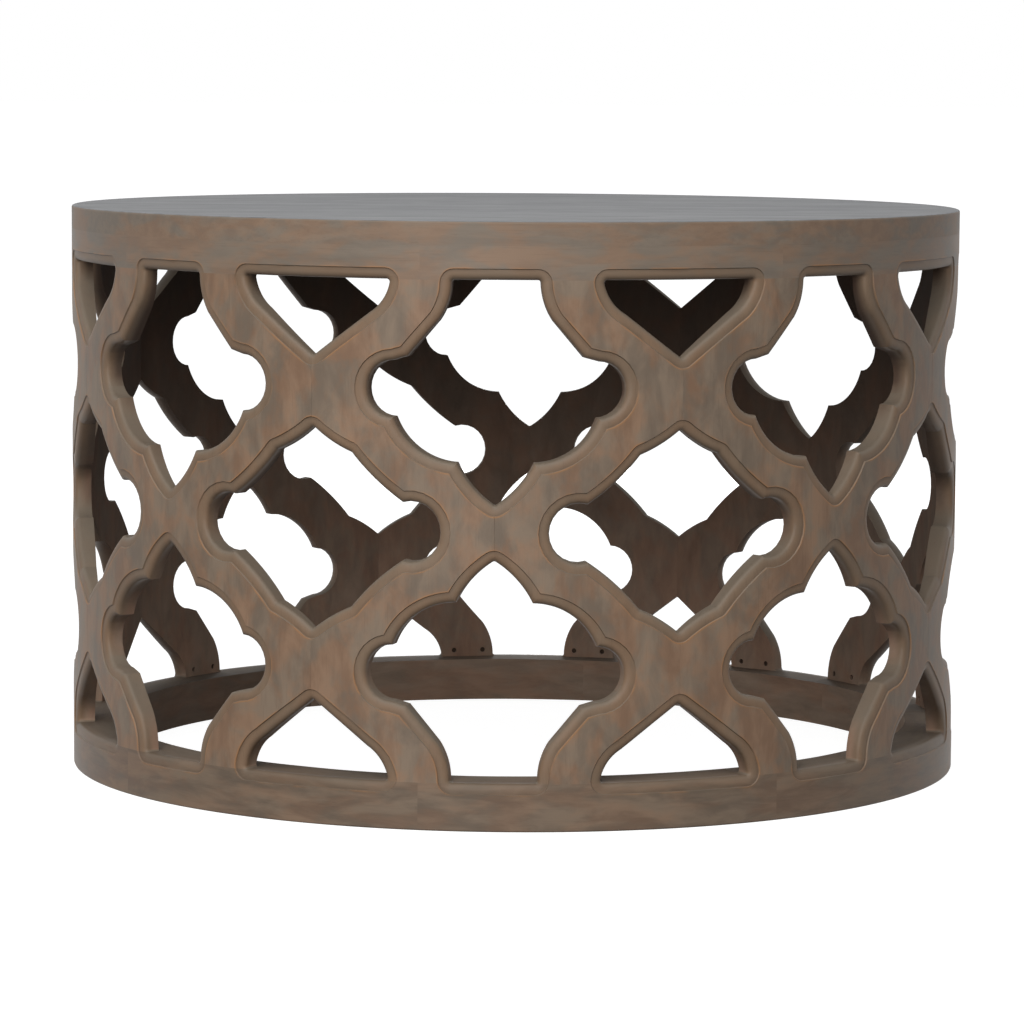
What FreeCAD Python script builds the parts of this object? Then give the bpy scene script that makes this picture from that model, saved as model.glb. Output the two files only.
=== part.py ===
import FreeCAD, Part
import math
import os
import Sketcher

# A round drum stool: sixteen zigzag ribs stand between a base ring and a top ring,
# touch their neighbours at the crossings of the trellis, and carry a top of glued boards.
# Lengths are in millimetres, the floor is z = 0 and the front looks along -Y.

ribCount = 16
segmentCount = 8
boardCount = 7
ribAngle = 360 / ribCount
segmentAngle = 360 / segmentCount

dimensions = {
    # overall
    "outer_diameter": 720,
    "base_height": 36,
    "lattice_height": 374,
    "top_ring_height": 25,
    "top_thickness": 18,
    # stock, in from the outer face, which for a rib is at the middle of its flat inner face
    "rib_thickness": 16,
    "ring_width": 38,
    # crossings of the trellis
    "crossing_drop": 84.75,
    "mid_crossing_height": 41,
    "upper_crossing_height": 53.5,
    # full cell, out from its column and up from the middle of the wall
    "full_shoulder_out": 31,
    "full_shoulder_drop": 18,
    "full_waist_out": 71,
    "full_waist_up": 21.5,
    "full_lobe_out": 77.4,
    "full_tip_radius": 107,
    "full_side_radius": 186,
    # end cell, out from its column and up or down from the crossing beside it
    "end_shoulder_out": 28.5,
    "end_shoulder_up": 52,
    "end_tip_radius": 77,
    "end_scallop_radius": 53,
    "end_lobe_out": 77,
    "end_lobe_radius": 21,
    "end_lobe_up": 3.75,
    "end_cusp_out": 66,
    "end_cusp_up": 27.75,
    "end_neck_out": 42,
    "end_neck_drop": 30,
    "end_neck_radius": 50,
    "end_foot_out": 33,
    # three-sided cell between a crossing and a ring
    "corner_side_out": 44,
    "corner_side_drop": 25,
    "corner_radius": 34,
    "corner_foot_out": 60.4,
    # loose tenons between ribs and rings
    "tenon_width": 30,
    "tenon_thickness": 8,
    "tenon_depth": 18,
    "tenon_end_gap": 1,
    # loose slips across the joints of the rings
    "slip_height": 14,
    "slip_thickness": 8,
    "slip_depth": 20,
    "slip_end_gap": 1,
    "slip_inset": 21,
    "glue_play": 0.1,
    # loose tenons between the top ring and the boards
    "top_tenon_depth": 10,
    "top_tenon_inset": 25,
}

doc = FreeCAD.newDocument("drum_stool")
sheet = doc.addObject("Spreadsheet::Sheet", "dims")
for row, (alias, value) in enumerate(dimensions.items(), start=1):
    sheet.set(f"A{row}", alias)
    sheet.set(f"B{row}", str(value))
    sheet.setAlias(f"B{row}", alias)
doc.recompute()

nodes = []


def measure(expression):
    return float(sheet.evalExpression(expression))


def bind(feature, **expressions):
    for name, expression in expressions.items():
        feature.setExpression(name, expression)


def originPlane(body, role):
    return next(item for item in body.Origin.OriginFeatures if item.Role == role)


def newSketch(body, name, role, height=None):
    sketch = body.newObject("Sketcher::SketchObject", name)
    sketch.AttachmentSupport = [(originPlane(body, role), "")]
    sketch.MapMode = "FlatFace"
    if height:
        sketch.setExpression("AttachmentOffset.Base.z", height)
    return sketch


def hold(sketch, constraint, name, expression):
    index = sketch.addConstraint(constraint)
    sketch.renameConstraint(index, name)
    sketch.setExpression(f"Constraints.{name}", expression)


def holdPoint(sketch, geometry, position, name, across, along):
    sideways = Sketcher.Constraint("DistanceX", -1, 1, geometry, position, measure(across))
    lengthways = Sketcher.Constraint("DistanceY", -1, 1, geometry, position, measure(along))
    hold(sketch, sideways, f"{name}_x", across)
    hold(sketch, lengthways, f"{name}_y", along)


def arcCentre(start, end, bend):
    chord = end - start
    middle = (start + end) / 2
    if "centre" in bend:
        return FreeCAD.Vector(measure(bend["centre"]), middle.y, 0)
    rise = math.sqrt(measure(bend["radius"]) ** 2 - (chord.Length / 2) ** 2)
    left = FreeCAD.Vector(-chord.y, chord.x, 0).normalize()
    return middle - left * rise * bend["side"]


def addArc(sketch, start, end, bend):
    # side is 1 where the arc swells to the left of its way, and -1 to the right
    centre = arcCentre(start, end, bend)
    circle = Part.Circle(centre, FreeCAD.Vector(0, 0, 1), (start - centre).Length)
    first, last = (end, start) if bend["side"] > 0 else (start, end)
    turns = [math.atan2(point.y - centre.y, point.x - centre.x) for point in (first, last)]
    geometry = sketch.addGeometry(Part.ArcOfCircle(circle, turns[0], turns[1]))
    return (geometry, 2, 1) if bend["side"] > 0 else (geometry, 1, 2)


def addLoop(sketch, name, corners, bends):
    # corners are (across, along) expressions, and bends give the arc that leaves a corner
    places = [FreeCAD.Vector(measure(across), measure(along), 0) for across, along in corners]
    edges = []
    for index, start in enumerate(places):
        end = places[(index + 1) % len(places)]
        if index in bends:
            edges.append(addArc(sketch, start, end, bends[index]))
        else:
            edges.append((sketch.addGeometry(Part.LineSegment(start, end)), 1, 2))
    for index, (geometry, first, last) in enumerate(edges):
        following = edges[(index + 1) % len(edges)]
        sketch.addConstraint(Sketcher.Constraint("Coincident", geometry, last, following[0], following[1]))
        holdPoint(sketch, geometry, first, f"{name}_{index}", *corners[index])
    for index, bend in bends.items():
        geometry = edges[index][0]
        if "centre" in bend:
            inward = Sketcher.Constraint("DistanceX", -1, 1, geometry, 3, measure(bend["centre"]))
            hold(sketch, inward, f"{name}_{index}_centre", bend["centre"])
        else:
            bow = Sketcher.Constraint("Radius", geometry, measure(bend["radius"]))
            hold(sketch, bow, f"{name}_{index}_radius", bend["radius"])


def addMortise(sketch, name, across, along, degrees=0):
    # a slot for a loose tenon, turned about the drum's axis
    wide = "(dims.tenon_width / 2 + dims.glue_play)"
    deep = "(dims.tenon_thickness / 2 + dims.glue_play)"
    corners = []
    for side, end in ((-1, -1), (1, -1), (1, 1), (-1, 1)):
        corners.append(turned(f"{across} + {side} * {wide}", f"{along} + {end} * {deep}", degrees))
    addLoop(sketch, name, corners, {})


def turned(across, along, degrees):
    spun = f"({across}) * cos({degrees} deg) - ({along}) * sin({degrees} deg)"
    swung = f"({across}) * sin({degrees} deg) + ({along}) * cos({degrees} deg)"
    return spun, swung


def wedgeProfile(sketch, halfAngle, inside, roundInside):
    # a slice of the drum seen from above: radial ends, round outside, flat or round inside
    outer = "dims.outer_diameter / 2"
    inner = inside if roundInside else f"{inside} / cos({halfAngle} deg)"
    corners = []
    for side, reach in ((-1, inner), (-1, outer), (1, outer), (1, inner)):
        corners.append((f"{side} * ({reach}) * sin({halfAngle} deg)", f"-({reach}) * cos({halfAngle} deg)"))
    bends = {1: {"radius": outer, "side": -1}}
    if roundInside:
        bends[3] = {"radius": inner, "side": 1}
    addLoop(sketch, "slice", corners, bends)


def pad(body, sketch, name, length, symmetric=False):
    feature = body.newObject("PartDesign::Pad", name)
    feature.Profile = sketch
    feature.SideType = "Symmetric" if symmetric else "One side"
    bind(feature, Length=length)
    return feature


def pocket(body, sketch, name, length=None, upward=False):
    feature = body.newObject("PartDesign::Pocket", name)
    feature.Profile = sketch
    if length:
        feature.Reversed = upward
        bind(feature, Length=length)
    else:
        feature.Type = "ThroughAll"
        feature.SideType = "Symmetric"
    return feature


def finish(piece, label):
    piece.Label = label
    nodes.append(piece)


# Ribs. A rib is drawn with its outer face towards -Y and its middle height at z = 0.
# Its mid crossing is at the left edge, its upper and lower crossings at the right edge.

ribFlat = "(dims.outer_diameter / 2 - dims.rib_thickness)"
ribReach = f"(dims.outer_diameter / 2 * sin({ribAngle / 2} deg))"
halfHeight = "(dims.lattice_height / 2)"
crossingUp = f"({halfHeight} - dims.crossing_drop)"
overrun = "dims.rib_thickness"
footAcross = "(dims.end_foot_out / 2 - dims.corner_foot_out / 2)"
footAlong = f"-({ribFlat} + dims.rib_thickness / 2)"


def fromLeft(distance):
    return f"{distance} - {ribReach}"


def fromRight(distance):
    return f"{ribReach} - {distance}"


def endCellLoop(sketch):
    lobe = f"({crossingUp} + dims.end_lobe_up)"
    past = f"{halfHeight} + {overrun}"
    tip = "dims.mid_crossing_height / 2"
    corners = [
        (f"-{ribReach}", tip),
        (fromLeft("dims.end_shoulder_out"), "dims.end_shoulder_up"),
        (fromLeft("dims.end_lobe_out"), f"{lobe} - dims.end_lobe_radius"),
        (fromLeft("dims.end_lobe_out"), f"{lobe} + dims.end_lobe_radius"),
        (fromLeft("dims.end_cusp_out"), f"{crossingUp} + dims.end_cusp_up"),
        (fromLeft("dims.end_neck_out"), f"{halfHeight} - dims.end_neck_drop"),
        (fromLeft("dims.end_foot_out"), halfHeight),
        (fromLeft("dims.end_foot_out"), past),
        (f"-{ribReach} - {overrun}", past),
        (f"-{ribReach} - {overrun}", tip),
    ]
    bends = {
        0: {"radius": "dims.end_tip_radius", "side": -1},
        1: {"radius": "dims.end_scallop_radius", "side": -1},
        2: {"centre": fromLeft("dims.end_lobe_out"), "side": -1},
        5: {"radius": "dims.end_neck_radius", "side": 1},
    }
    addLoop(sketch, "end", corners, bends)


def cornerCellLoop(sketch):
    past = f"{halfHeight} + {overrun}"
    tip = f"{crossingUp} + dims.upper_crossing_height / 2"
    corners = [
        (ribReach, tip),
        (f"{ribReach} + {overrun}", tip),
        (f"{ribReach} + {overrun}", past),
        (fromRight("dims.corner_foot_out"), past),
        (fromRight("dims.corner_foot_out"), halfHeight),
        (fromRight("dims.corner_side_out"), f"{halfHeight} - dims.corner_side_drop"),
    ]
    addLoop(sketch, "corner", corners, {4: {"radius": "dims.corner_radius", "side": -1}})


def fullCellLoop(sketch):
    tip = f"({crossingUp} - dims.upper_crossing_height / 2)"
    shoulder = f"({tip} - dims.full_shoulder_drop)"
    corners = [
        (ribReach, tip),
        (fromRight("dims.full_shoulder_out"), shoulder),
        (fromRight("dims.full_waist_out"), "dims.full_waist_up"),
        (fromRight("dims.full_waist_out"), "-dims.full_waist_up"),
        (fromRight("dims.full_shoulder_out"), f"-{shoulder}"),
        (ribReach, f"-{tip}"),
        (f"{ribReach} + {overrun}", f"-{tip}"),
        (f"{ribReach} + {overrun}", tip),
    ]
    bends = {
        0: {"radius": "dims.full_tip_radius", "side": 1},
        1: {"radius": "dims.full_side_radius", "side": 1},
        2: {"centre": fromRight("dims.full_lobe_out"), "side": -1},
        3: {"radius": "dims.full_side_radius", "side": 1},
        4: {"radius": "dims.full_tip_radius", "side": 1},
    }
    addLoop(sketch, "full", corners, bends)


def makeRib(number):
    body = doc.addObject("PartDesign::Body", f"rib_{number:02d}")
    profile = newSketch(body, f"stave_profile_{number:02d}", "XY_Plane")
    wedgeProfile(profile, ribAngle / 2, ribFlat, roundInside=False)
    pad(body, profile, f"stave_{number:02d}", "dims.lattice_height", symmetric=True)
    full = newSketch(body, f"full_cell_profile_{number:02d}", "XZ_Plane")
    fullCellLoop(full)
    pocket(body, full, f"full_cell_{number:02d}")
    ends = newSketch(body, f"end_cells_profile_{number:02d}", "XZ_Plane")
    endCellLoop(ends)
    cornerCellLoop(ends)
    cells = pocket(body, ends, f"end_cells_{number:02d}")
    slot = newSketch(body, f"mortise_profile_{number:02d}", "XY_Plane", halfHeight)
    addMortise(slot, "mortise", footAcross, footAlong)
    mortise = pocket(body, slot, f"mortise_{number:02d}", "dims.tenon_depth")
    mirror = body.newObject("PartDesign::Mirrored", f"both_ends_{number:02d}")
    mirror.Originals = [cells, mortise]
    mirror.MirrorPlane = (originPlane(body, "XY_Plane"), [""])
    body.Tip = mirror
    turn = FreeCAD.Rotation(FreeCAD.Vector(0, 0, 1), (number - 0.5) * ribAngle)
    if number % 2 == 0:
        turn = turn * FreeCAD.Rotation(FreeCAD.Vector(0, 1, 0), 180)
    body.Placement = FreeCAD.Placement(FreeCAD.Vector(0, 0, 0), turn)
    body.setExpression("Placement.Base.z", "dims.base_height + dims.lattice_height / 2")
    finish(body, f"rib_{number:02d}")


for number in range(1, ribCount + 1):
    makeRib(number)

# Rings. Each ring is glued up from segments that meet under every second foot,
# so the tenon of that foot ties the two segments together, and a slip lies behind it.
# A tenon in the middle of each top ring segment holds a board of the top.

ringInner = "(dims.outer_diameter / 2 - dims.ring_width)"
slipRadius = "(dims.outer_diameter / 2 - dims.slip_inset)"
topTenonAlong = "-(dims.outer_diameter / 2 - dims.top_tenon_inset)"
footTurn = math.degrees(math.atan2(measure(footAcross), -measure(footAlong)))
footAngle = ribAngle / 2 + footTurn
segmentTurn = segmentAngle / 2 - footAngle


def segmentMortises(sketch):
    # one whole mortise inside the segment, and half of one at either end
    middle = ribAngle / 2 - segmentTurn
    addMortise(sketch, "whole", footAcross, footAlong, middle)
    addMortise(sketch, "first", f"-{footAcross}", footAlong, middle - ribAngle)
    addMortise(sketch, "last", f"-{footAcross}", footAlong, middle + ribAngle)


def slipPlace(degrees, play, level):
    # the corner of a slip, or of its slot, that runs across the joint at this angle
    joint = FreeCAD.Rotation(FreeCAD.Vector(0, 0, 1), degrees)
    outer = measure(f"{slipRadius} + dims.slip_thickness / 2") + play
    low = measure(f"{level} - dims.slip_height / 2") - play
    corner = FreeCAD.Vector(-measure("dims.slip_depth"), -outer, low)
    return FreeCAD.Placement(joint.multVec(corner), joint)


def slipSlots(body, name, height):
    for side, degrees in (("left", -segmentAngle / 2), ("right", segmentAngle / 2)):
        slot = body.newObject("PartDesign::SubtractiveBox", f"{name}_{side}")
        slot.Placement = slipPlace(degrees, measure("dims.glue_play"), f"{height} / 2")
        bind(slot, Length="2 * dims.slip_depth", Width="dims.slip_thickness + 2 * dims.glue_play",
             Height="dims.slip_height + 2 * dims.glue_play")


def topMortise(body, ring, number, height):
    slot = newSketch(body, f"{ring}_top_mortise_profile_{number}", "XY_Plane", height)
    addMortise(slot, "top", "0", topTenonAlong)
    pocket(body, slot, f"{ring}_top_mortise_{number}", "dims.top_tenon_depth")


def makeSegment(ring, number, height, level, feet):
    body = doc.addObject("PartDesign::Body", f"{ring}_{number}")
    profile = newSketch(body, f"{ring}_profile_{number}", "XY_Plane")
    wedgeProfile(profile, segmentAngle / 2, ringInner, roundInside=True)
    pad(body, profile, f"{ring}_block_{number}", height)
    face = height if feet == "above" else None
    slots = newSketch(body, f"{ring}_mortise_profile_{number}", "XY_Plane", face)
    segmentMortises(slots)
    pocket(body, slots, f"{ring}_mortises_{number}", "dims.tenon_depth", upward=feet == "below")
    slipSlots(body, f"{ring}_slip_slot_{number}", height)
    if feet == "below":
        topMortise(body, ring, number, height)
    turn = FreeCAD.Rotation(FreeCAD.Vector(0, 0, 1), segmentTurn + (number - 1) * segmentAngle)
    body.Placement = FreeCAD.Placement(FreeCAD.Vector(0, 0, 0), turn)
    if level:
        body.setExpression("Placement.Base.z", level)
    finish(body, f"{ring}_{number}")


topRingLevel = "dims.base_height + dims.lattice_height"
topLevel = f"{topRingLevel} + dims.top_ring_height"
for number in range(1, segmentCount + 1):
    makeSegment("base_ring", number, "dims.base_height", None, "above")
for number in range(1, segmentCount + 1):
    makeSegment("top_ring", number, "dims.top_ring_height", topRingLevel, "below")

# Top. Straight boards are glued edge to edge and cut round, flush with the rings.


def cylinder(name, radius, height, place):
    rod = doc.addObject("Part::Cylinder", name)
    bind(rod, Radius=radius, Height=height)
    rod.Placement = FreeCAD.Placement(place, FreeCAD.Rotation())
    return rod


def block(name, place, length, width, height):
    box = doc.addObject("Part::Box", name)
    bind(box, Length=length, Width=width, Height=height)
    box.Placement = place
    return box


def tenonPlace(degrees, across, along, low, play=0):
    # the lowest corner of a tenon, or of its mortise, that is centred here and turned to this angle
    turn = FreeCAD.Rotation(FreeCAD.Vector(0, 0, 1), degrees)
    side = measure(f"{across} - dims.tenon_width / 2") - play
    face = measure(f"{along} - dims.tenon_thickness / 2") - play
    return FreeCAD.Placement(turn.multVec(FreeCAD.Vector(side, face, measure(low))), turn)


segmentTurns = [segmentTurn + index * segmentAngle for index in range(segmentCount)]
boardWidth = measure("dims.outer_diameter") / boardCount


def makeBoard(number):
    edge = -measure("dims.outer_diameter") / 2
    low = edge + (number - 1) * boardWidth
    level = FreeCAD.Vector(0, 0, measure(topLevel))
    disc = cylinder(f"top_disc_{number}", "dims.outer_diameter / 2", "dims.top_thickness", level)
    corner = FreeCAD.Placement(FreeCAD.Vector(edge, low, level.z), FreeCAD.Rotation())
    strip = block(f"top_strip_{number}", corner, "dims.outer_diameter",
                  f"dims.outer_diameter / {boardCount}", "dims.top_thickness")
    board = doc.addObject("Part::Common", f"top_blank_{number}")
    board.Base = disc
    board.Tool = strip
    mortises = []
    for index, degrees in enumerate(segmentTurns, start=1):
        if low < measure(topTenonAlong) * math.cos(math.radians(degrees)) < low + boardWidth:
            place = tenonPlace(degrees, "0", topTenonAlong, topLevel, measure("dims.glue_play"))
            mortises.append(block(f"top_mortise_{number}_{index}", place,
                                  "dims.tenon_width + 2 * dims.glue_play",
                                  "dims.tenon_thickness + 2 * dims.glue_play", "dims.top_tenon_depth"))
    if mortises:
        tool = doc.addObject("Part::Compound", f"top_mortises_{number}")
        tool.Links = mortises
        blank = board
        board = doc.addObject("Part::Cut", f"top_board_{number}")
        board.Base = blank
        board.Tool = tool
    finish(board, f"top_board_{number}")


for number in range(1, boardCount + 1):
    makeBoard(number)

# Fastenings. Every tenon and slip starts at one end of its room and stops a little short of the other.


def makeGroup(name, members):
    group = doc.addObject("Part::Compound", name)
    group.Links = members
    finish(group, name)


def ribTenons(name, level):
    tenons = []
    for rib in range(ribCount):
        side = -1 if rib % 2 else 1
        low = f"{level} - dims.tenon_depth"
        place = tenonPlace((rib + 0.5) * ribAngle, f"{side} * {footAcross}", footAlong, low)
        tenons.append(block(f"{name}_{rib + 1}", place, "dims.tenon_width", "dims.tenon_thickness",
                            "2 * dims.tenon_depth - dims.tenon_end_gap"))
    makeGroup(name, tenons)


def topTenons(name):
    tenons = []
    for index, degrees in enumerate(segmentTurns, start=1):
        place = tenonPlace(degrees, "0", topTenonAlong, f"{topLevel} - dims.top_tenon_depth")
        tenons.append(block(f"{name}_{index}", place, "dims.tenon_width", "dims.tenon_thickness",
                            "2 * dims.top_tenon_depth - dims.tenon_end_gap"))
    makeGroup(name, tenons)


def ringSlips(name, level):
    slips = []
    for index, turn in enumerate(segmentTurns, start=1):
        place = slipPlace(turn + segmentAngle / 2, 0, level)
        slips.append(block(f"{name}_{index}", place, "2 * dims.slip_depth - dims.slip_end_gap",
                           "dims.slip_thickness", "dims.slip_height"))
    makeGroup(name, slips)


ribTenons("foot_tenons", "dims.base_height")
ribTenons("head_tenons", f"({topRingLevel})")
ringSlips("base_ring_slips", "dims.base_height / 2")
ringSlips("top_ring_slips", f"({topRingLevel} + dims.top_ring_height / 2)")
topTenons("top_tenons")

doc.recompute()

failed = [item.Name for item in doc.Objects if "Invalid" in item.State or "Error" in item.State]
unsound = [node.Label for node in nodes if node.Shape.isNull() or not node.Shape.isValid()]
if failed or unsound:
    raise RuntimeError(f"not built: {failed} {unsound}")

os.makedirs("parts", exist_ok=True)
for node in nodes:
    node.Shape.exportStep(f"parts/{node.Label}.step")
print(f"{len(nodes)} pieces, rib volume {nodes[0].Shape.Volume:.0f} cubic mm")
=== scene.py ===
import math
import random
import bmesh
import bpy
from mathutils import Matrix, Vector, noise


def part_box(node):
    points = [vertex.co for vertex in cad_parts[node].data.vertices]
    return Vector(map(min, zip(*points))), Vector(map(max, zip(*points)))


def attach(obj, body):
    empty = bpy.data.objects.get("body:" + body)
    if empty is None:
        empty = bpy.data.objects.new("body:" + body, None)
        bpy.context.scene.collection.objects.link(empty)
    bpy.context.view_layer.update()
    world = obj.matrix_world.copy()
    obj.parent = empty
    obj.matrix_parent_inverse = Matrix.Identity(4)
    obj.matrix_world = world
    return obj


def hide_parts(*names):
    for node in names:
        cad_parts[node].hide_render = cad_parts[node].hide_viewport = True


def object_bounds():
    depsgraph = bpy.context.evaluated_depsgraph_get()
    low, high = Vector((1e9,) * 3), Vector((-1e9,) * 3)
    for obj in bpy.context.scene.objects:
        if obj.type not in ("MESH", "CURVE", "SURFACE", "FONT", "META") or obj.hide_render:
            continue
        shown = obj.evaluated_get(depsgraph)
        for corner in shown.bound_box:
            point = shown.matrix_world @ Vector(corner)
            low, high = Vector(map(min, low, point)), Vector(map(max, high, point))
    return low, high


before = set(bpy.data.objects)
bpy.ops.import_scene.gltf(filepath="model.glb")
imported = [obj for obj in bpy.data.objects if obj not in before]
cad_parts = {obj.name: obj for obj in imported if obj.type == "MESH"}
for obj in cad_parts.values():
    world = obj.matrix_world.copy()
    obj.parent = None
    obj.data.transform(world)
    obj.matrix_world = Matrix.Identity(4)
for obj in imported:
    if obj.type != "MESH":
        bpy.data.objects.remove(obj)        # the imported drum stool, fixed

cadLow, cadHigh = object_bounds()
mm = 0.001
random.seed(16)

# The wall is drawn flat in millimetres: across it from the front crossing, up from its middle,
# and inwards from its outer face. It is bent round the drum once it is carved.
drum = {
    "ribs": 16,
    "segments": 8,
    "boards": 7,
    "radius": round(cadHigh.x / mm, 1),
    "floor": cadLow.z / mm,
    "baseTop": round(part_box("base_ring_1")[1].z / mm, 1),
    "ringFoot": round(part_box("top_ring_1")[0].z / mm, 1),
    "boardFoot": round(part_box("top_board_1")[0].z / mm, 1),
    "top": round(cadHigh.z / mm, 1),
    "ribDeep": 16,            # at the middle of a rib's flat inner face
    "ringDeep": 38,
    "crossingDrop": 84.75,    # from a ring to the crossing next to it
    "footTurn": 9.021,        # degrees from a mid crossing to the foot beside it
}
ribTurn = 2 * math.pi / drum["ribs"]
footTurn = math.radians(drum["footTurn"])
staveWidth = 2 * drum["radius"] * math.sin(ribTurn / 2)
wallMiddle = (drum["baseTop"] + drum["ringFoot"]) / 2
wallHalf = (drum["ringFoot"] - drum["baseTop"]) / 2
crossing = wallHalf - drum["crossingDrop"]
tolerance = {"saw": 1e-5, "slice": 1e-4, "edge": 1e-4, "back": 0.01}    # millimetres


def wallAngle(across):
    stave = math.floor(across / staveWidth) + 0.5
    return math.asin((across - stave * staveWidth) / drum["radius"]) + stave * ribTurn


def wallAcross(angle):
    stave = math.floor(angle / ribTurn) + 0.5
    return math.sin(angle - stave * ribTurn) * drum["radius"] + stave * staveWidth


# Carving: the edges of the openings, and the quirk and bead that follow them

carving = {
    "step": 4.0,           # length of the facets along an edge
    "arcShare": 1.3,       # arcs get this many more facets than their chords would
    "fewestStraight": 2,
    "fewestRound": 4,
    "corner": 2.2,         # radius left by the blade in the corners of an opening
    "cornerSteps": 6,
    "cornerTurn": 0.1,     # sine of the turn past which a corner is rounded
    "flowTurn": 0.02,      # sine of the turn under which two runs flow into each other
    "meetTries": 12,
    "border": 13.5,        # where the rubbed strip on the face ends
    "arris": 1.3,          # width of the worn line along the lip
    "lip": 8.4,            # where the face breaks into the quirk
    "lipFade": 0.1,        # what is left of the rubbing past the worn line
    "quirk": 0.95,         # depth of the quirk
    "quirkWidth": 0.6,
    "quirkLip": 0.1,       # painted shade at the lip and at the foot of the bead, beside the quirk's own
    "quirkBead": 0.25,
    "roundSteps": 8,
    "roundDrop": 5.2,
    "fullness": 0.74,      # 1 for a plain quarter round, less for a flatter one with a tighter nose
    "wallBead": 0.6,       # how far the cut wall keeps the bead's colour at its back
    "slices": 18,          # upright cuts across a stave, so that it bends round the drum
    "arrisSteps": 2,
    "sway": 0.55,          # the hand's drift off the drawn line
    "swayLength": 55,
    "swayPast": 9,         # the drift dies out this far past the ends of the wall
    "swayFade": 20,
    "swayShift": (40, 17, 9),    # the drift upwards is read this far from the drift aside
    "seat": 0.02,          # ribs and rings part a hair above the ring's own edge
}


class Run:    # one straight or round stretch of an opening's edge, walked with the opening on the left
    def __init__(self, start, end, radius=0, side=0, major=False):
        self.start = Vector(start)
        self.end = Vector(end)
        self.radius = radius
        self.side = side    # 1 where the run swells into the opening, -1 where it swells into the wood
        self.major = major
        chord = self.end - self.start
        left = Vector((-chord.y, chord.x)).normalized()
        self.right = -left
        self.steps = max(carving["fewestStraight"], round(chord.length / carving["step"]))
        if side:
            rise = math.sqrt(max(radius ** 2 - (chord.length / 2) ** 2, 0)) * (-1 if major else 1)
            self.centre = (self.start + self.end) / 2 - left * rise * side
            facets = round(carving["arcShare"] * chord.length / carving["step"])
            self.steps = max(carving["fewestRound"], facets)

    def reach(self, point):
        if self.side:
            return self.side * (self.radius - (point - self.centre).length)
        return (point - self.start).dot(self.right)

    def outward(self, point):
        if self.side:
            return -self.side * (point - self.centre).normalized()
        return self.right

    def walk(self, start, end):
        shares = [index / self.steps for index in range(self.steps)]
        if not self.side:
            return [start.lerp(end, share) for share in shares]
        return sweep(self.centre, start, end, shares, -self.side)

    def turned(self, across, up):    # reversed and mirrored, so the opening stays on the left
        start = (self.end.x * across, self.end.y * up)
        end = (self.start.x * across, self.start.y * up)
        return Run(start, end, self.radius, self.side, self.major)


def sweep(centre, start, end, shares, way):
    first = start - centre
    last = end - centre
    low = math.atan2(first.y, first.x)
    turn = (math.atan2(last.y, last.x) - low) % (2 * math.pi)
    if way < 0:
        turn -= 2 * math.pi
    points = []
    for share in shares:
        angle = low + turn * share
        reach = first.length + (last.length - first.length) * share
        points.append(centre + Vector((math.cos(angle), math.sin(angle))) * reach)
    return points


def meet(before, after, offset, near):    # where two neighbouring runs cross once both are set back
    point = near.copy()
    for _ in range(carving["meetTries"]):
        first = before.outward(point)
        second = after.outward(point)
        spread = first.cross(second)
        if abs(spread) < carving["flowTurn"]:
            return near + (first + second).normalized() * offset
        short = offset - before.reach(point)
        other = offset - after.reach(point)
        point += Vector((short * second.y - other * first.y, other * first.x - short * second.x)) / spread
    return point


def outline(runs, offset):
    joints = []
    for before, after in zip(runs, runs[1:] + runs[:1]):
        near = before.end
        if before.outward(near).cross(after.outward(near)) > carving["cornerTurn"]:
            centre = meet(before, after, -carving["corner"], near)
            reach = carving["corner"] + offset
            first = centre + before.outward(centre) * reach
            second = centre + after.outward(centre) * reach
            joints.append((first, second, centre))
        else:
            point = meet(before, after, offset, near)
            joints.append((point, point, None))
    points = []
    for index, run in enumerate(runs):
        end, following, centre = joints[index]
        points += run.walk(joints[index - 1][1], end)
        if centre:
            shares = [step / carving["cornerSteps"] for step in range(carving["cornerSteps"])]
            points += sweep(centre, end, following, shares, 1)
    return points


def wholeCell(half):
    return half + [run.turned(-1, 1) for run in reversed(half)]


def below(runs):
    return [run.turned(1, -1) for run in reversed(runs)]


trellis = {    # out from a cell's own column, and up or down from the crossing or ring beside it
    "midHalf": 20.5,           # half the height of a mid crossing
    "upperHalf": 26.75,        # half the height of an upper or lower crossing
    "endTipRadius": 77,
    "endShoulderOut": 28.5,
    "endShoulderUp": 52,       # from the middle of the wall
    "endScallopRadius": 53,
    "endLobeOut": 77,
    "endLobeUp": 3.75,
    "endLobeRadius": 21,
    "endCuspOut": 66,
    "endCuspUp": 27.75,
    "endNeckOut": 42,
    "endNeckDrop": 30,
    "endNeckRadius": 50,
    "endFootOut": 33,
    "cornerSideOut": 44,
    "cornerSideDrop": 25,
    "cornerRadius": 34,
    "cornerFootOut": 60.4,
    "fullTipRadius": 107,
    "fullShoulderOut": 31,
    "fullShoulderDrop": 18,    # from the cell's own tip
    "fullSideRadius": 186,
    "fullWaistOut": 71,
    "fullWaistUp": 21.5,       # from the middle of the wall
    "fullLobeRadius": 22.43,
}


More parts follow.
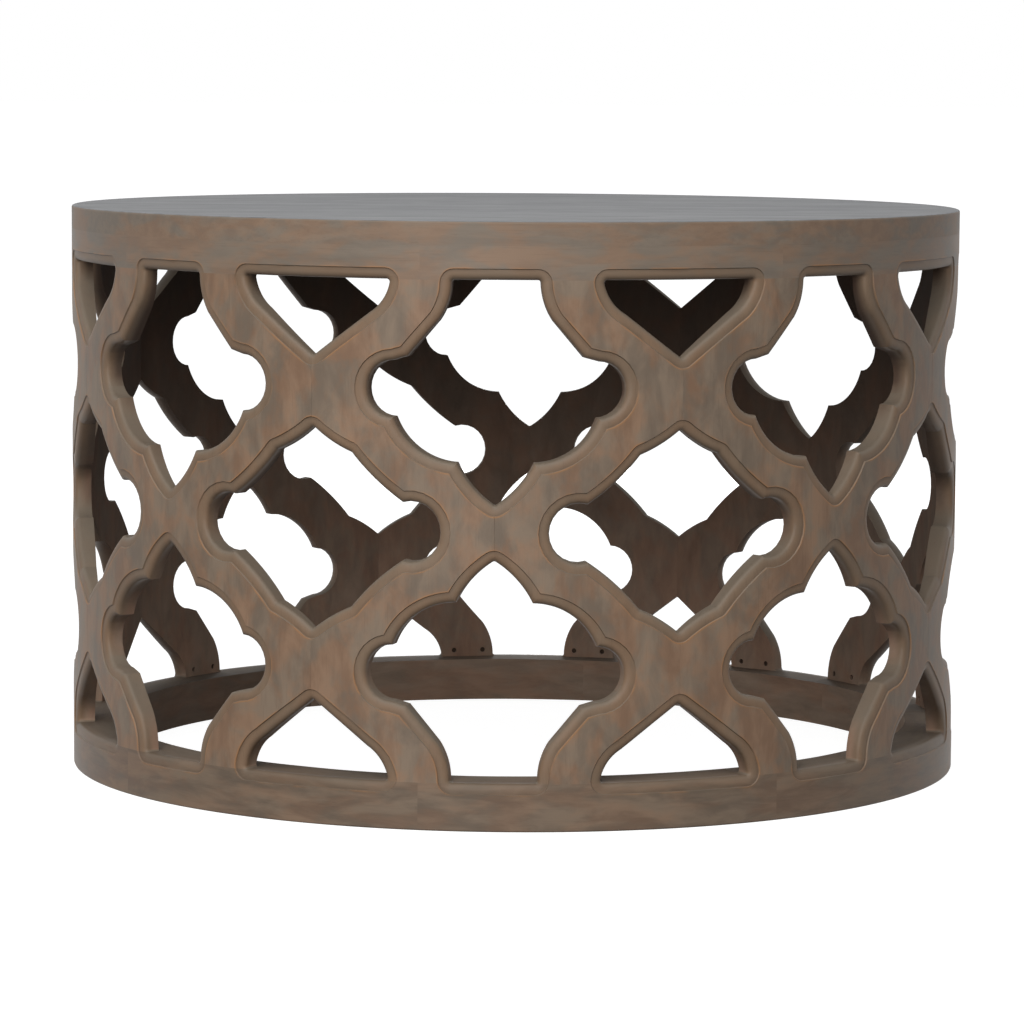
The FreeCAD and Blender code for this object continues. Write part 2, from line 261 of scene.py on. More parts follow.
def cloverCell():    # between a mid crossing and a ring
    tip = (0, trellis["midHalf"])
    shoulder = (trellis["endShoulderOut"], trellis["endShoulderUp"])
    lobeMiddle = crossing + trellis["endLobeUp"]
    lobeLow = (trellis["endLobeOut"], lobeMiddle - trellis["endLobeRadius"])
    lobeHigh = (trellis["endLobeOut"], lobeMiddle + trellis["endLobeRadius"])
    cusp = (trellis["endCuspOut"], crossing + trellis["endCuspUp"])
    neck = (trellis["endNeckOut"], wallHalf - trellis["endNeckDrop"])
    foot = (trellis["endFootOut"], wallHalf)
    return wholeCell([
        Run(tip, shoulder, trellis["endTipRadius"], -1),
        Run(shoulder, lobeLow, trellis["endScallopRadius"], -1),
        Run(lobeLow, lobeHigh, trellis["endLobeRadius"], -1),
        Run(lobeHigh, cusp),
        Run(cusp, neck),
        Run(neck, foot, trellis["endNeckRadius"], 1),
        Run(foot, (0, wallHalf)),
    ])


def threeSidedCell():    # between an upper crossing and a ring
    tip = (0, crossing + trellis["upperHalf"])
    side = (trellis["cornerSideOut"], wallHalf - trellis["cornerSideDrop"])
    foot = (trellis["cornerFootOut"], wallHalf)
    return wholeCell([
        Run(tip, side),
        Run(side, foot, trellis["cornerRadius"], -1),
        Run(foot, (0, wallHalf)),
    ])


def wideCell():    # between two mid crossings
    tipUp = crossing - trellis["upperHalf"]
    tip = (0, -tipUp)
    shoulder = (trellis["fullShoulderOut"], trellis["fullShoulderDrop"] - tipUp)
    waistLow = (trellis["fullWaistOut"], -trellis["fullWaistUp"])
    waistHigh = (trellis["fullWaistOut"], trellis["fullWaistUp"])
    lower = [
        Run(tip, shoulder, trellis["fullTipRadius"], 1),
        Run(shoulder, waistLow, trellis["fullSideRadius"], 1),
    ]
    lobe = Run(waistLow, waistHigh, trellis["fullLobeRadius"], -1, major=True)
    return wholeCell(lower + [lobe] + below(lower))


endCell = cloverCell()
cornerCell = threeSidedCell()
fullCell = wideCell()


def beadSteps(deep):    # how far back from the edge, how deep, and how much lip, quirk and bead it is
    lip = carving["lip"]
    start = lip - carving["quirkWidth"]
    fullness = carving["fullness"]
    steps = [
        (carving["border"], 0, 0, 0, 0),
        (lip + carving["arris"], 0, carving["lipFade"], 0, 0),
        (lip, 0, 1, carving["quirkLip"], 0),
        (start, carving["quirk"], 0, 1, 1),
    ]
    for index in range(1, carving["roundSteps"] + 1):
        turn = index / carving["roundSteps"] * math.pi / 2
        back = start * (1 - math.sin(turn) ** fullness)
        drop = carving["quirk"] + carving["roundDrop"] * (1 - max(math.cos(turn), 0) ** fullness)
        steps.append((back, drop, 0, carving["quirkBead"] if index == 1 else 0, 1))
    steps.append((0, deep, 0, 0, carving["wallBead"]))
    return steps


def loopEdges(bm, verts):
    return [bm.edges.new(pair) for pair in zip(verts, verts[1:] + verts[:1])]


def carvedBlank(cells, low, high, deep, nails=()):
    bm = bmesh.new()
    layers = [bm.verts.layers.float.new(name) for name in ("lip", "quirk", "bead")]
    face = []
    back = []
    for column, runs in cells:
        edges = None
        for offset, depth, *marks in beadSteps(deep):
            ring = []
            for point in outline(runs, offset):
                vert = bm.verts.new((column * staveWidth + point.x, depth, point.y))
                for layer, mark in zip(layers, marks):
                    vert[layer] = mark
                ring.append(vert)
            outer = edges
            edges = loopEdges(bm, ring)
            if outer:
                bmesh.ops.bridge_loops(bm, edges=outer + edges)
            else:
                face += edges
        back += edges
    for across, up in nails:
        back += nailHole(bm, across, up, deep)
    columns = [column for column, runs in cells]
    left = (min(columns) - 1) * staveWidth
    right = (max(columns) + 1) * staveWidth
    rims = []
    for edges, depth in ((face, 0), (back, deep)):
        corners = [(left, depth, low), (right, depth, low), (right, depth, high), (left, depth, high)]
        rim = loopEdges(bm, [bm.verts.new(corner) for corner in corners])
        bmesh.ops.triangle_fill(bm, edges=edges + rim, use_beauty=True, normal=(0, -1, 0))
        rims += rim
    bmesh.ops.bridge_loops(bm, edges=rims)
    return bm


nailing = {
    "diameter": 4.4,
    "deep": 3.2,
    "up": 5.6,        # from the end of a rib
    "apart": 27,
    "sides": 14,
    "dark": 2.6,      # as quirk: past what any groove has, so the hole's floor is all painted shade
}


def nailHole(bm, across, up, deep):
    place = Matrix.Translation((across, deep - nailing["deep"], up)) @ Matrix.Rotation(math.pi / 2, 4, "X")
    floor = bmesh.ops.create_circle(bm, cap_ends=True, segments=nailing["sides"],
                                    radius=nailing["diameter"] / 2, matrix=place)
    rim = list({edge for vert in floor["verts"] for edge in vert.link_edges})
    for vert in floor["verts"]:
        vert[bm.verts.layers.float["quirk"]] = nailing["dark"]
    wall = bmesh.ops.extrude_edge_only(bm, edges=rim)["geom"]
    verts = [item for item in wall if isinstance(item, bmesh.types.BMVert)]
    for vert in verts:
        vert[bm.verts.layers.float["quirk"]] = 0
    bmesh.ops.translate(bm, verts=verts, vec=(0, nailing["deep"], 0))
    mouth = [item for item in wall if isinstance(item, bmesh.types.BMEdge)]
    return [edge for edge in mouth if all(vert in verts for vert in edge.verts)]


def saw(bm, place, normal):    # takes off what the normal points at, and closes the cut
    whole = bm.verts[:] + bm.edges[:] + bm.faces[:]
    made = bmesh.ops.bisect_plane(bm, geom=whole, dist=tolerance["saw"], plane_co=place, plane_no=normal,
                                  clear_outer=True)
    rim = [item for item in made["geom_cut"] if isinstance(item, bmesh.types.BMEdge)]
    bmesh.ops.holes_fill(bm, edges=rim, sides=0)


def ease(bm, width, test):    # a fine arris on the edges that pass the test
    bmesh.ops.recalc_face_normals(bm, faces=bm.faces[:])
    edges = [edge for edge in bm.edges if all(test(vert.co) for vert in edge.verts)]
    if edges:
        bmesh.ops.bevel(bm, geom=edges, offset=width, offset_type="OFFSET", segments=carving["arrisSteps"],
                        profile=0.5, affect="EDGES", material=-1)


def cutUpright(bm, left, right, count):
    for index in range(1, count):
        place = (left + (right - left) * index / count, 0, 0)
        whole = bm.verts[:] + bm.edges[:] + bm.faces[:]
        bmesh.ops.bisect_plane(bm, geom=whole, dist=tolerance["slice"], plane_co=place, plane_no=(1, 0, 0))


def sway(across, up):    # the same drift for every piece, so that joints stay shut
    fade = min(max((wallHalf + carving["swayPast"] - abs(up)) / carving["swayFade"], 0), 1)
    angle = wallAngle(across)
    spot = Vector((math.sin(angle), math.cos(angle), up / drum["radius"]))
    spot *= drum["radius"] / carving["swayLength"]
    drift = carving["sway"] * fade
    return drift * noise.noise(spot), drift * noise.noise(spot + Vector(carving["swayShift"]))


def bend(bm, shift, deep, inside):    # inside gives the distance of the inner face from the axis
    for vert in bm.verts:
        across, depth, up = vert.co
        aside, lift = sway(across + shift, up)
        angle = wallAngle(across + shift) + aside / drum["radius"]
        reach = inside(angle) if depth > deep - tolerance["back"] else drum["radius"] - depth
        vert.co = Vector((reach * math.sin(angle), -reach * math.cos(angle), up + lift + wallMiddle)) * mm


timber = {
    "spread": 900,        # how far apart in the tree two pieces may have been cut
    "crispAngle": 20,     # degrees from which an edge is left crisp
}


def timberStart():
    spread = timber["spread"]
    return Vector([random.uniform(-spread, spread) for axis in range(3)])


def markGrain(bm, along, start, tone, inside=1):    # the wood follows the flat drawing, grain last
    grain = bm.verts.layers.float_vector.new("grain")
    shade = bm.verts.layers.float.new("tone")
    for vert in bm.verts:
        x, y, z = vert.co
        turned = {"up": (x, y, z), "across": (z, y, x), "boards": (y, z, x)}[along]
        vert[grain] = Vector(turned) + start
        # the tone holds each piece's own tone, times painted shade on the inner faces where it is given
        vert[shade] = tone * inside if y > drum["ringDeep"] - tolerance["back"] else tone


def finishPiece(bm, name, material, node):
    bmesh.ops.recalc_face_normals(bm, faces=bm.faces[:])
    for edge in bm.edges:
        edge.smooth = edge.calc_face_angle(0) < math.radians(timber["crispAngle"])
    for face in bm.faces:
        face.smooth = True
    mesh = bpy.data.meshes.new(name)
    bm.to_mesh(mesh)
    bm.free()
    mesh.materials.append(material)
    piece = bpy.data.objects.new(name, mesh)
    bpy.context.scene.collection.objects.link(piece)
    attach(piece, "root")
    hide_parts(node)


# Materials

mixColours = {"first": 6, "second": 7, "result": 2}    # where the Mix node has its colours


class Signal:    # a socket that takes part in sums
    def __init__(self, tree, socket=None):
        self.tree = tree
        self.socket = socket

    def node(self, kind, settings=None, inputs=None, output=0):
        made = self.tree.nodes.new(kind)
        for name, value in (settings or {}).items():
            setattr(made, name, value)
        for name, value in (inputs or {}).items():
            if isinstance(value, Signal):
                self.tree.links.new(value.socket, made.inputs[name])
            else:
                made.inputs[name].default_value = value
        return Signal(self.tree, made.outputs[output])

    def sum(self, operation, first, second):
        return self.node("ShaderNodeMath", {"operation": operation}, {0: first, 1: second})

    def __add__(self, other):
        return self.sum("ADD", self, other)

    def __radd__(self, other):
        return self.sum("ADD", other, self)

    def __sub__(self, other):
        return self.sum("SUBTRACT", self, other)

    def __rsub__(self, other):
        return self.sum("SUBTRACT", other, self)

    def __mul__(self, other):
        return self.sum("MULTIPLY", self, other)

    def __rmul__(self, other):
        return self.sum("MULTIPLY", other, self)

    def greater(self, other):
        return self.sum("MAXIMUM", self, other)

    def vector(self, operation, other=None, output=0):
        inputs = {0: self} if other is None else {0: self, 1: other}
        return self.node("ShaderNodeVectorMath", {"operation": operation}, inputs, output)

    def stretch(self, scale):
        return self.vector("MULTIPLY", scale)

    def part(self, axis):
        return self.node("ShaderNodeSeparateXYZ", None, {0: self}, axis)

    def between(self, low, high):    # 0 at low, 1 at high, eased
        return self.node("ShaderNodeMapRange", {"interpolation_type": "SMOOTHSTEP"},
                         {"Value": self, "From Min": low, "From Max": high, "To Min": 0.0, "To Max": 1.0})

    def noise(self, detail, roughness, distortion=0.0):
        return self.node("ShaderNodeTexNoise", None, {"Vector": self, "Scale": 1.0, "Detail": detail,
                                                      "Roughness": roughness, "Distortion": distortion})

    def blend(self, first, second, share):    # first where the share is 0, second where it is 1
        inputs = {0: share, mixColours["first"]: first, mixColours["second"]: second}
        return self.node("ShaderNodeMix", {"data_type": "RGBA"}, inputs, mixColours["result"])

    def tint(self, first, second):
        return self.blend(first, second, self)

    def lit(self, level):    # a colour times a level
        grey = self.node("ShaderNodeCombineColor", None, {"Red": level, "Green": level, "Blue": level})
        settings = {"data_type": "RGBA", "blend_type": "MULTIPLY"}
        inputs = {0: 1.0, mixColours["first"]: self, mixColours["second"]: grey}
        return self.node("ShaderNodeMix", settings, inputs, mixColours["result"])

    def feed(self, shader, name):
        self.tree.links.new(self.socket, shader.inputs[name])


def newMaterial(name):
    material = bpy.data.materials.new(name)
    material.use_nodes = True
    tree = material.node_tree
    return material, Signal(tree), tree.nodes["Principled BSDF"]


noiseMiddle = 0.5    # what a noise averages
washedWood = {
    "brown": (0.112, 0.072, 0.048, 1),
    "tan": (0.255, 0.176, 0.120, 1),
    "wash": (0.174, 0.145, 0.112, 1),         # grey-green wash left on the wood
    "blush": (0.246, 0.144, 0.088, 1),        # red wood that shows through it
    "lip": (0.320, 0.165, 0.075, 1),          # edges rubbed bare
    "bead": (0.172, 0.113, 0.070, 1),
    "ledge": (0.166, 0.143, 0.113, 1),        # grey-olive laid on faces turned up
    "pores": (0.060, 0.038, 0.026, 1),
    # painted shade for the quirks and the nail holes' floors
    "quirk": (0.055, 0.034, 0.022, 1),
    "insideFootLight": (0.262, 0.186, 0.138, 1),   # the inner faces keep a stain, with painted light at the foot and painted shade under the top
    "insideHeadShade": (0.050, 0.034, 0.025, 1),
    "insideRed": (1.10, 0.96, 0.90),
    "upperFace": (0.098, 0.102, 0.110, 1),    # painted sky reflection: blue-grey for the top's faces turned up
    "upperStreak": (0.222, 0.224, 0.230, 1),
    "streakScale": (0.085, 0.085, 0.020),     # turns per mm over the grain, through it and along it
    "poreScale": (0.95, 0.95, 0.035),
    "patchScale": (0.042, 0.042, 0.028),      # turns per mm along x, y and z
    "cloudScale": (0.016, 0.016, 0.016),
    "wearScale": (0.035, 0.035, 0.035),
    "streakNoise": (5.0, 0.6, 0.4),           # detail, roughness and distortion
    "poreNoise": (2.0, 0.6),
    "patchNoise": (3.0, 0.6, 0.3),
    "cloudNoise": (4.0, 0.6),
    "wearNoise": (2.0, 0.5),
    "streakRange": (0.34, 0.66),              # from where a pattern starts to where it is full
    "poreRange": (0.56, 0.74),
    "patchRange": (0.39, 0.61),
    "redRange": (0.40, 0.66),
    "rubRange": (0.42, 0.62),
    "grooveShadeRange": (0.40, 0.62),
    "holeRange": (1.2, 2.2),
    "ledgeRise": (0.1, 0.75),                 # the same for how far a face is turned up, down or inwards
    "unshadedRise": (0.0, 0.4),
    "upperRise": (0.5, 0.9),
    "underFall": (0.1, 0.8),
    "inward": (0.45, 0.8),
    "stainDepth": (4, 13),                    # mm in from the outer face
    "hueShare": 0.44,
    "poreShare": 0.16,
    "lipShare": 0.85,
    "beadShare": 0.65,
    "quirkShare": 0.32,
    # painted shade on faces turned down
    "underShare": 0.45,
    "upperShare": 0.0,
    "upperPatches": 0.2,                      # patches in the top's grey, the rest being streaks
    "cloudDepth": 0.25,
    "insideDepth": 1.1,
    "gloss": 0.25,
    "roughness": 0.5,
    "insideRoughness": 0.85,
    "roughDepth": 0.2,
    "streakRelief": 0.6,
    "poreRelief": 0.25,
    "patchRelief": 0.6,
    "bump": 0.3,
    "bumpDepth": 0.0006,                      # metres
}


def woodFigure(finish, grain, wash):    # the patterns that colour and relief are mixed from
    return {
        "streaks": grain.stretch(finish["streakScale"]).noise(*finish["streakNoise"]),
        "pores": grain.stretch(finish["poreScale"]).noise(*finish["poreNoise"]),
        "patches": wash.stretch(finish["patchScale"]).noise(*finish["patchNoise"]),
        "clouds": wash.stretch(finish["cloudScale"]).noise(*finish["cloudNoise"]),
        "wear": wash.stretch(finish["wearScale"]).noise(*finish["wearNoise"]),
    }


def outerColour(start, finish, figure, marks, rise):
    wood = figure["streaks"].between(*finish["streakRange"]).tint(finish["brown"], finish["tan"])
    hue = figure["patches"].between(*finish["patchRange"]).tint(finish["blush"], finish["wash"])
    colour = start.blend(wood, hue, finish["hueShare"])
    colour = (marks["bead"] * finish["beadShare"]).tint(colour, finish["bead"])
    upwardGrey = rise.between(*finish["ledgeRise"]) * finish["beadShare"]
    colour = upwardGrey.tint(colour, finish["ledge"])
    pores = figure["pores"].between(*finish["poreRange"]) * finish["poreShare"]
    colour = pores.tint(colour, finish["pores"])
    rubbed = marks["lip"] * figure["wear"].between(*finish["rubRange"]) * finish["lipShare"]
    colour = rubbed.tint(colour, finish["lip"])
    # painted sky reflection: faces turned up take a streaked blue-grey in place of the sky's sheen
    if finish["upperShare"]:
        upper = rise.between(*finish["upperRise"]) * finish["upperShare"]
        patches = figure["patches"] * finish["upperPatches"]
        skyFigure = patches + figure["streaks"] * (1 - finish["upperPatches"])
        grey = skyFigure.between(*finish["streakRange"]).tint(finish["upperFace"], finish["upperStreak"])
        colour = upper.tint(colour, grey)
    return colour.lit(1 + (figure["clouds"] - noiseMiddle) * finish["cloudDepth"])


def insideStainAndShade(finish, figure, place):
    # painted light and shade: lighter towards the foot, darker under the top
    height = place.part("Z").between(drum["floor"] * mm, drum["boardFoot"] * mm)
    stainedAndShaded = height.tint(finish["insideFootLight"], finish["insideHeadShade"])
    stainedAndShaded = stainedAndShaded.lit(1 + (figure["streaks"] - noiseMiddle) * finish["insideDepth"])
    redder = stainedAndShaded.vector("MULTIPLY", finish["insideRed"])
    return figure["patches"].between(*finish["redRange"]).tint(stainedAndShaded, redder)


def grooveShade(finish, figure, marks, rise):    # painted shade: dark in the quirks, less where they face up, and all over a nail hole's floor
    worn = figure["wear"].between(*finish["grooveShadeRange"])
    facingUp = rise.between(*finish["unshadedRise"])
    groove = marks["quirk"].between(0, 1) * worn * (1 - facingUp) * finish["quirkShare"]
    return groove.greater(marks["quirk"].between(*finish["holeRange"]))


def washedWoodMaterial(name, changes):
    finish = {**washedWood, **changes}
    material, start, shader = newMaterial(name)
    grain = start.node("ShaderNodeAttribute", {"attribute_name": "grain"}, None, "Vector")
    marks = {mark: start.node("ShaderNodeAttribute", {"attribute_name": mark}, None, "Fac")
             for mark in ("lip", "quirk", "bead", "tone")}
    place = start.node("ShaderNodeTexCoord", None, None, "Object")
    facing = start.node("ShaderNodeTexCoord", None, None, "Normal")
    rise = facing.part("Z")
    wash = place.stretch((1 / mm, 1 / mm, 1 / mm))    # the wash runs on from piece to piece
    figure = woodFigure(finish, grain, wash)

    level = place.stretch((1, 1, 0))
    stainFrom = [(drum["radius"] - depth) * mm for depth in finish["stainDepth"]]
    deep = level.vector("LENGTH", None, "Value").between(*stainFrom)
    outward = facing.vector("DOT_PRODUCT", level.vector("NORMALIZE"), "Value")
    inward = (0 - outward).between(*finish["inward"])
    inner = inward.greater(deep * (1 - rise.between(*finish["ledgeRise"])))

    outer = outerColour(start, finish, figure, marks, rise)
    colour = inner.tint(outer, insideStainAndShade(finish, figure, place))
    # painted shade: faces turned down are darkened
    under = (0 - rise).between(*finish["underFall"]) * finish["underShare"]
    # painted shade in the quirks and nail holes
    colour = grooveShade(finish, figure, marks, rise).tint(colour, finish["quirk"])
    colour.lit(marks["tone"] * (1 - under)).feed(shader, "Base Color")

    dull = inward.greater(deep) * (finish["insideRoughness"] - finish["roughness"])
    rough = finish["roughness"] + dull + (figure["streaks"] - noiseMiddle) * finish["roughDepth"]
    rough.feed(shader, "Roughness")
    shader.inputs["Specular IOR Level"].default_value = finish["gloss"]
    relief = figure["streaks"] * finish["streakRelief"] + figure["pores"] * finish["poreRelief"]
    relief = relief + figure["patches"] * finish["patchRelief"]
    bump = start.node("ShaderNodeBump", None, {"Strength": finish["bump"], "Distance": finish["bumpDepth"],
                                               "Height": relief})
    bump.feed(shader, "Normal")
    return material


ribChanges = {"streakScale": (0.050, 0.050, 0.020), "hueShare": 0.52}
greyer = {
    "brown": (0.136, 0.094, 0.066, 1),
    "tan": (0.222, 0.158, 0.112, 1),
    "wash": (0.166, 0.150, 0.126, 1),
    "blush": (0.226, 0.148, 0.100, 1),
    "hueShare": 0.6,
    "cloudDepth": 0.12,
    "patchScale": (0.020, 0.020, 0.050),
}
duller = {
    "blush": (0.230, 0.150, 0.102, 1),
    "insideFootLight": (0.330, 0.240, 0.178, 1),
    "patchScale": (0.020, 0.020, 0.050),
    "lipShare": 0.5,
    "beadShare": 0.35,
}
topChanges = {
    "upperShare": 1.0,
    "roughness": 0.55,
    "insideRoughness": 0.55,
    "streakScale": (0.11, 0.11, 0.004),
}
ribWood = washedWoodMaterial("ribWood", ribChanges)
ringWood = {
    "base": washedWoodMaterial("baseRingWood", duller),
    "top": washedWoodMaterial("topRingWood", greyer),
}
topWood = washedWoodMaterial("topWood", {**greyer, **topChanges})
print("materials ready")


# Ribs: a zigzag stave with a quirk and bead round every opening

ribFinish = {
    "glueArris": 0.25,
    "toneSpread": 0.03,
    "past": 60,       # how far the blank runs past the wall before it is sawn off
}


def nailPlaces(evenColumn, way):
    foot = wallAcross(footTurn)
    places = []
    for side in (-0.5, 0.5):
        for end in (-1, 1):
            across = evenColumn * staveWidth + way * (foot + side * nailing["apart"])
            places.append((across, end * (wallHalf - nailing["up"])))
    return places


def ribBlank(first, second):    # the columns of its mid crossing and of its upper and lower crossings
    cells = [(first, endCell), (first, below(endCell)), (second, fullCell)]
    cells += [(second, cornerCell), (second, below(cornerCell))]
    end = wallHalf + ribFinish["past"]
    bm = carvedBlank(cells, -end, end, drum["ribDeep"], nailPlaces(first, second - first))
    left = min(first, second) * staveWidth
    right = max(first, second) * staveWidth
    saw(bm, (left, 0, 0), (-1, 0, 0))
    saw(bm, (right, 0, 0), (1, 0, 0))
    saw(bm, (0, 0, wallHalf - carving["seat"]), (0, 0, 1))
    saw(bm, (0, 0, carving["seat"] - wallHalf), (0, 0, -1))
    near = tolerance["edge"]
    ease(bm, ribFinish["glueArris"], lambda co: co.y < near and min(co.x - left, right - co.x) < near)
    cutUpright(bm, left, right, carving["slices"])
    return bm


def ribInside(number):    # flat, square to the middle of the rib
    middle = (number + 0.5) * ribTurn
    return lambda angle: (drum["radius"] - drum["ribDeep"]) / math.cos(angle - middle)


ribBlanks = [ribBlank(0, 1), ribBlank(2, 1)]
print("rib blanks carved, open edges", [sum(edge.is_boundary for edge in bm.edges) for bm in ribBlanks])
for number in range(drum["ribs"]):
    bm = ribBlanks[number % 2].copy()
    spread = ribFinish["toneSpread"]
    tone = random.uniform(1 - spread, 1 + spread)
    markGrain(bm, "up", timberStart(), tone)
    bend(bm, (number - number % 2) * staveWidth, drum["ribDeep"], ribInside(number))
    finishPiece(bm, f"carvedRib_{number + 1:02d}", ribWood, f"rib_{number + 1:02d}")
for bm in ribBlanks:
    bm.free()
print("ribs placed")


# Rings: segments that carry the bead along the openings and meet under every second foot

ringFinish = {
    "floorArris": 1.2,
    "seamArris": 0.05,
    # the base ring is darker: partly its own duller wood, partly painted shade for the lower ring
    "tone": {"base": 0.84, "top": 1.0},
    "toneSpread": 0.02,
    "paintedInsideShade": {"baseRingSegment_6": 0.52},    # painted shade: one length's inner faces, on the side turned from the light, are darker
    "past": 30,       # how far the blank runs past the ring before it is sawn off
}


def ringBlank(upper):
    left = wallAcross(-footTurn)
    right = left + 2 * staveWidth
    far = drum["boardFoot"] - wallMiddle if upper else drum["floor"] - wallMiddle
    cells = [(0, endCell), (1, cornerCell)] if upper else [(0, below(endCell)), (1, below(cornerCell))]
    way = 1 if upper else -1
    low, high = sorted((0, far + ringFinish["past"] * way))
    bm = carvedBlank(cells, low, high, drum["ringDeep"])
    saw(bm, (0, 0, way * (wallHalf - carving["seat"])), (0, 0, -way))
    saw(bm, (0, 0, far), (0, 0, way))
    arris = ringFinish["seamArris"] if upper else ringFinish["floorArris"]
    near = tolerance["edge"]
    ease(bm, arris, lambda co: co.y < near and abs(co.z - far) < near)
    saw(bm, (left, 0, 0), (-1, 0, 0))
    saw(bm, (right, 0, 0), (1, 0, 0))
    cutUpright(bm, left, right, 2 * carving["slices"])
    return bm


def ringInside(angle):    # round
    return drum["radius"] - drum["ringDeep"]


for ring, upper in (("base", False), ("top", True)):
    blank = ringBlank(upper)
    print(ring, "ring blank carved, open edges", sum(edge.is_boundary for edge in blank.edges))
    for number in range(drum["segments"]):
        bm = blank.copy()
        name = f"{ring}RingSegment_{number + 1}"
        spread = ringFinish["toneSpread"]
        tone = ringFinish["tone"][ring] * random.uniform(1 - spread, 1 + spread)
        markGrain(bm, "across", timberStart(), tone, ringFinish["paintedInsideShade"].get(name, 1))
        bend(bm, number * 2 * staveWidth, drum["ringDeep"], ringInside)
        finishPiece(bm, name, ringWood[ring], f"{ring}_ring_{number + 1}")
    blank.free()
print("rings placed")


# Top: boards glued edge to edge and cut round

topFinish = {
    "rimArris": 1.4,
    "seamArris": 0.05,
    "boardArris": 0.2,
    "roundSteps": 288,
    "toneSpread": 0.02,
}


def topBoard(number):
    radius = drum["radius"]
    thick = drum["top"] - drum["boardFoot"]
    width = 2 * radius / drum["boards"]
    low = -radius + number * width
    near = tolerance["edge"]
    bm = bmesh.new()
    bmesh.ops.create_circle(bm, cap_ends=True, segments=topFinish["roundSteps"], radius=radius)
    disc = bmesh.ops.extrude_face_region(bm, geom=bm.faces[:])["geom"]
    lid = [item for item in disc if isinstance(item, bmesh.types.BMVert)]
    bmesh.ops.translate(bm, verts=lid, vec=(0, 0, thick))
    ease(bm, topFinish["rimArris"], lambda co: co.z > thick - near)
    ease(bm, topFinish["seamArris"], lambda co: co.z < near)
    if number > 0:
        saw(bm, (0, low, 0), (0, -1, 0))
    if number < drum["boards"] - 1:
        saw(bm, (0, low + width, 0), (0, 1, 0))
    seams = (low, low + width)
    ease(bm, topFinish["boardArris"],
         lambda co: co.z > thick - near and min(abs(co.y - side) for side in seams) < near)
    start = timberStart()
    tone = random.uniform(1 - topFinish["toneSpread"], 1 + topFinish["toneSpread"])
    markGrain(bm, "boards", start, tone)
    for vert in bm.verts:
        vert.co = (vert.co + Vector((0, 0, drum["boardFoot"]))) * mm
    finishPiece(bm, f"topBoard_{number + 1}", topWood, f"top_board_{number + 1}")


for number in range(drum["boards"]):
    topBoard(number)
print("top placed")


# Hidden joinery keeps its CAD shape and gets its own finish

bareBeech = {
    "pale": (0.62, 0.45, 0.29, 1),
    "dark": (0.46, 0.31, 0.18, 1),
    "fleckScale": (260, 260, 30),    # turns per metre
    "fleckNoise": (3.0, 0.55),
    "fleckRange": (0.35, 0.7),
    "roughness": 0.6,
}


def beechMaterial():
    material, start, shader = newMaterial("tenonBeech")
    place = start.node("ShaderNodeTexCoord", None, None, "Object")
    flecks = place.stretch(bareBeech["fleckScale"]).noise(*bareBeech["fleckNoise"])
    colour = flecks.between(*bareBeech["fleckRange"]).tint(bareBeech["pale"], bareBeech["dark"])
    colour.feed(shader, "Base Color")
    shader.inputs["Roughness"].default_value = bareBeech["roughness"]
    return material


tenonBeech = beechMaterial()
for node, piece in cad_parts.items():
    if node.endswith(("tenons", "slips")):
        piece.data.materials.clear()
        piece.data.materials.append(tenonBeech)
print("joinery finished")


# Floor, light and camera

studio = {
    "floorSize": 60,         # metres from its middle to its edges
    "floorGlow": 0.93,       # what the camera sees of the floor, before its light and shadow
    "floorWhite": (0.32, 0.32, 0.32, 1),
    "floorBounce": (0.10, 0.10, 0.10, 1),
    "skyLevel": 0.45,
    "skyColour": (0.95, 0.98, 1.0, 1),
    "white": (1, 1, 1, 1),
}


def seenDirectly(start):
    path = start.node("ShaderNodeLightPath").socket.node
    camera = Signal(start.tree, path.outputs["Is Camera Ray"])
    glossy = Signal(start.tree, path.outputs["Is Glossy Ray"])
    through = Signal(start.tree, path.outputs["Is Transmission Ray"])
    return camera.greater(glossy).greater(through)


def floorMaterial():
    material, start, shader = newMaterial("paleFloor")
    tree = start.tree
    tree.nodes.remove(shader)
    level = studio["floorGlow"]
    glow = start.node("ShaderNodeEmission", None, {"Color": studio["white"], "Strength": level})
    shadow = start.node("ShaderNodeBsdfDiffuse", None, {"Color": studio["floorWhite"]})
    seen = start.node("ShaderNodeAddShader", None, {0: glow, 1: shadow})
    bounce = start.node("ShaderNodeBsdfDiffuse", None, {"Color": studio["floorBounce"]})
    mixed = start.node("ShaderNodeMixShader", None, {0: seenDirectly(start), 1: bounce, 2: seen})
    mixed.feed(tree.nodes["Material Output"], "Surface")
    return material


def paleFloor():
    bm = bmesh.new()
    bmesh.ops.create_grid(bm, x_segments=1, y_segments=1, size=studio["floorSize"])
    mesh = bpy.data.meshes.new("paleFloor")
    bm.to_mesh(mesh)
    bm.free()
    mesh.materials.append(floorMaterial())
    floor = bpy.data.objects.new("paleFloor", mesh)
    bpy.context.scene.collection.objects.link(floor)


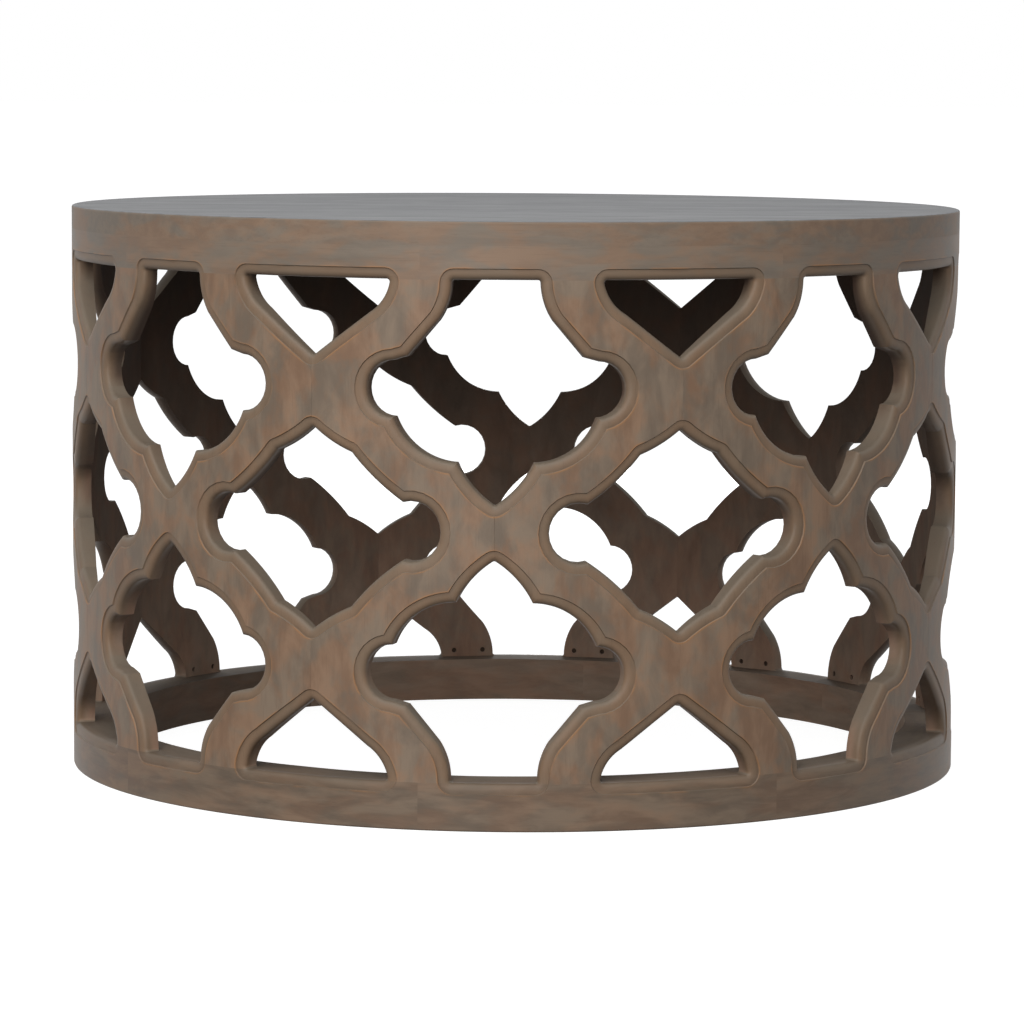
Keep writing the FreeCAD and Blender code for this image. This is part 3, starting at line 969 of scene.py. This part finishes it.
def softSky():
    world = bpy.data.worlds.new("softSky")
    world.use_nodes = True
    bpy.context.scene.world = world
    tree = world.node_tree
    tree.nodes.clear()
    start = Signal(tree)
    level = studio["skyLevel"]
    sky = start.node("ShaderNodeBackground", None, {"Color": studio["skyColour"], "Strength": level})
    white = start.node("ShaderNodeBackground", None, {"Color": studio["white"], "Strength": 1.0})
    mixed = start.node("ShaderNodeMixShader", None, {0: seenDirectly(start), 1: sky, 2: white})
    mixed.feed(tree.nodes.new("ShaderNodeOutputWorld"), "Surface")


softBoxes = {
    "key": {
        "place": (-0.35, -1.5, 1.9),
        "aim": (0, 0, 0.3),
        "size": 1.2,
        "power": 17,
        "colour": (1, 0.98, 0.96),
    },
    "back": {    # stands below the level of the top, so the top takes no glare from it
        "place": (0, 2.6, 0.23),
        "aim": (0, 0, 0.23),
        "size": 0.42,
        "power": 11,
        "colour": (1, 1, 1),
    },
    "front": {
        "place": (-0.6, -3.0, 0.95),
        "aim": (0, 0, 0.2),
        "size": 1.8,
        "power": 46,
        "colour": (1, 0.97, 0.94),
    },
}


def softBox(name, box):
    lamp = bpy.data.lights.new(name, "AREA")
    lamp.shape = "DISK"
    lamp.size = box["size"]
    lamp.energy = box["power"]
    lamp.color = box["colour"]
    holder = bpy.data.objects.new(name, lamp)
    place = Vector(box["place"])
    aim = (Vector(box["aim"]) - place).to_track_quat("-Z", "Y")
    holder.matrix_world = Matrix.Translation(place) @ aim.to_matrix().to_4x4()
    bpy.context.scene.collection.objects.link(holder)


view = {
    "place": (0.1395, -3.5252, 0.5662),
    "yaw": -0.0400,      # radians, as are tilt and roll
    "tilt": 0.1028,
    "roll": 0.0060,
    "lens": 151.95,
    "film": 36,
    "reach": 200,
}


def photoCamera():
    camera = bpy.data.cameras.new("photoCamera")
    camera.lens = view["lens"]
    camera.sensor_width = view["film"]
    camera.sensor_fit = "HORIZONTAL"
    camera.clip_end = view["reach"]
    holder = bpy.data.objects.new("photoCamera", camera)
    turn = Matrix.Rotation(-view["yaw"], 4, "Z") @ Matrix.Rotation(math.pi / 2 - view["tilt"], 4, "X")
    holder.matrix_world = Matrix.Translation(view["place"]) @ turn @ Matrix.Rotation(view["roll"], 4, "Z")
    bpy.context.scene.collection.objects.link(holder)
    bpy.context.scene.camera = holder


paleFloor()
softSky()
for name, box in softBoxes.items():
    softBox(name, box)
photoCamera()
bpy.context.scene.view_settings.view_transform = "Standard"
print("studio ready")
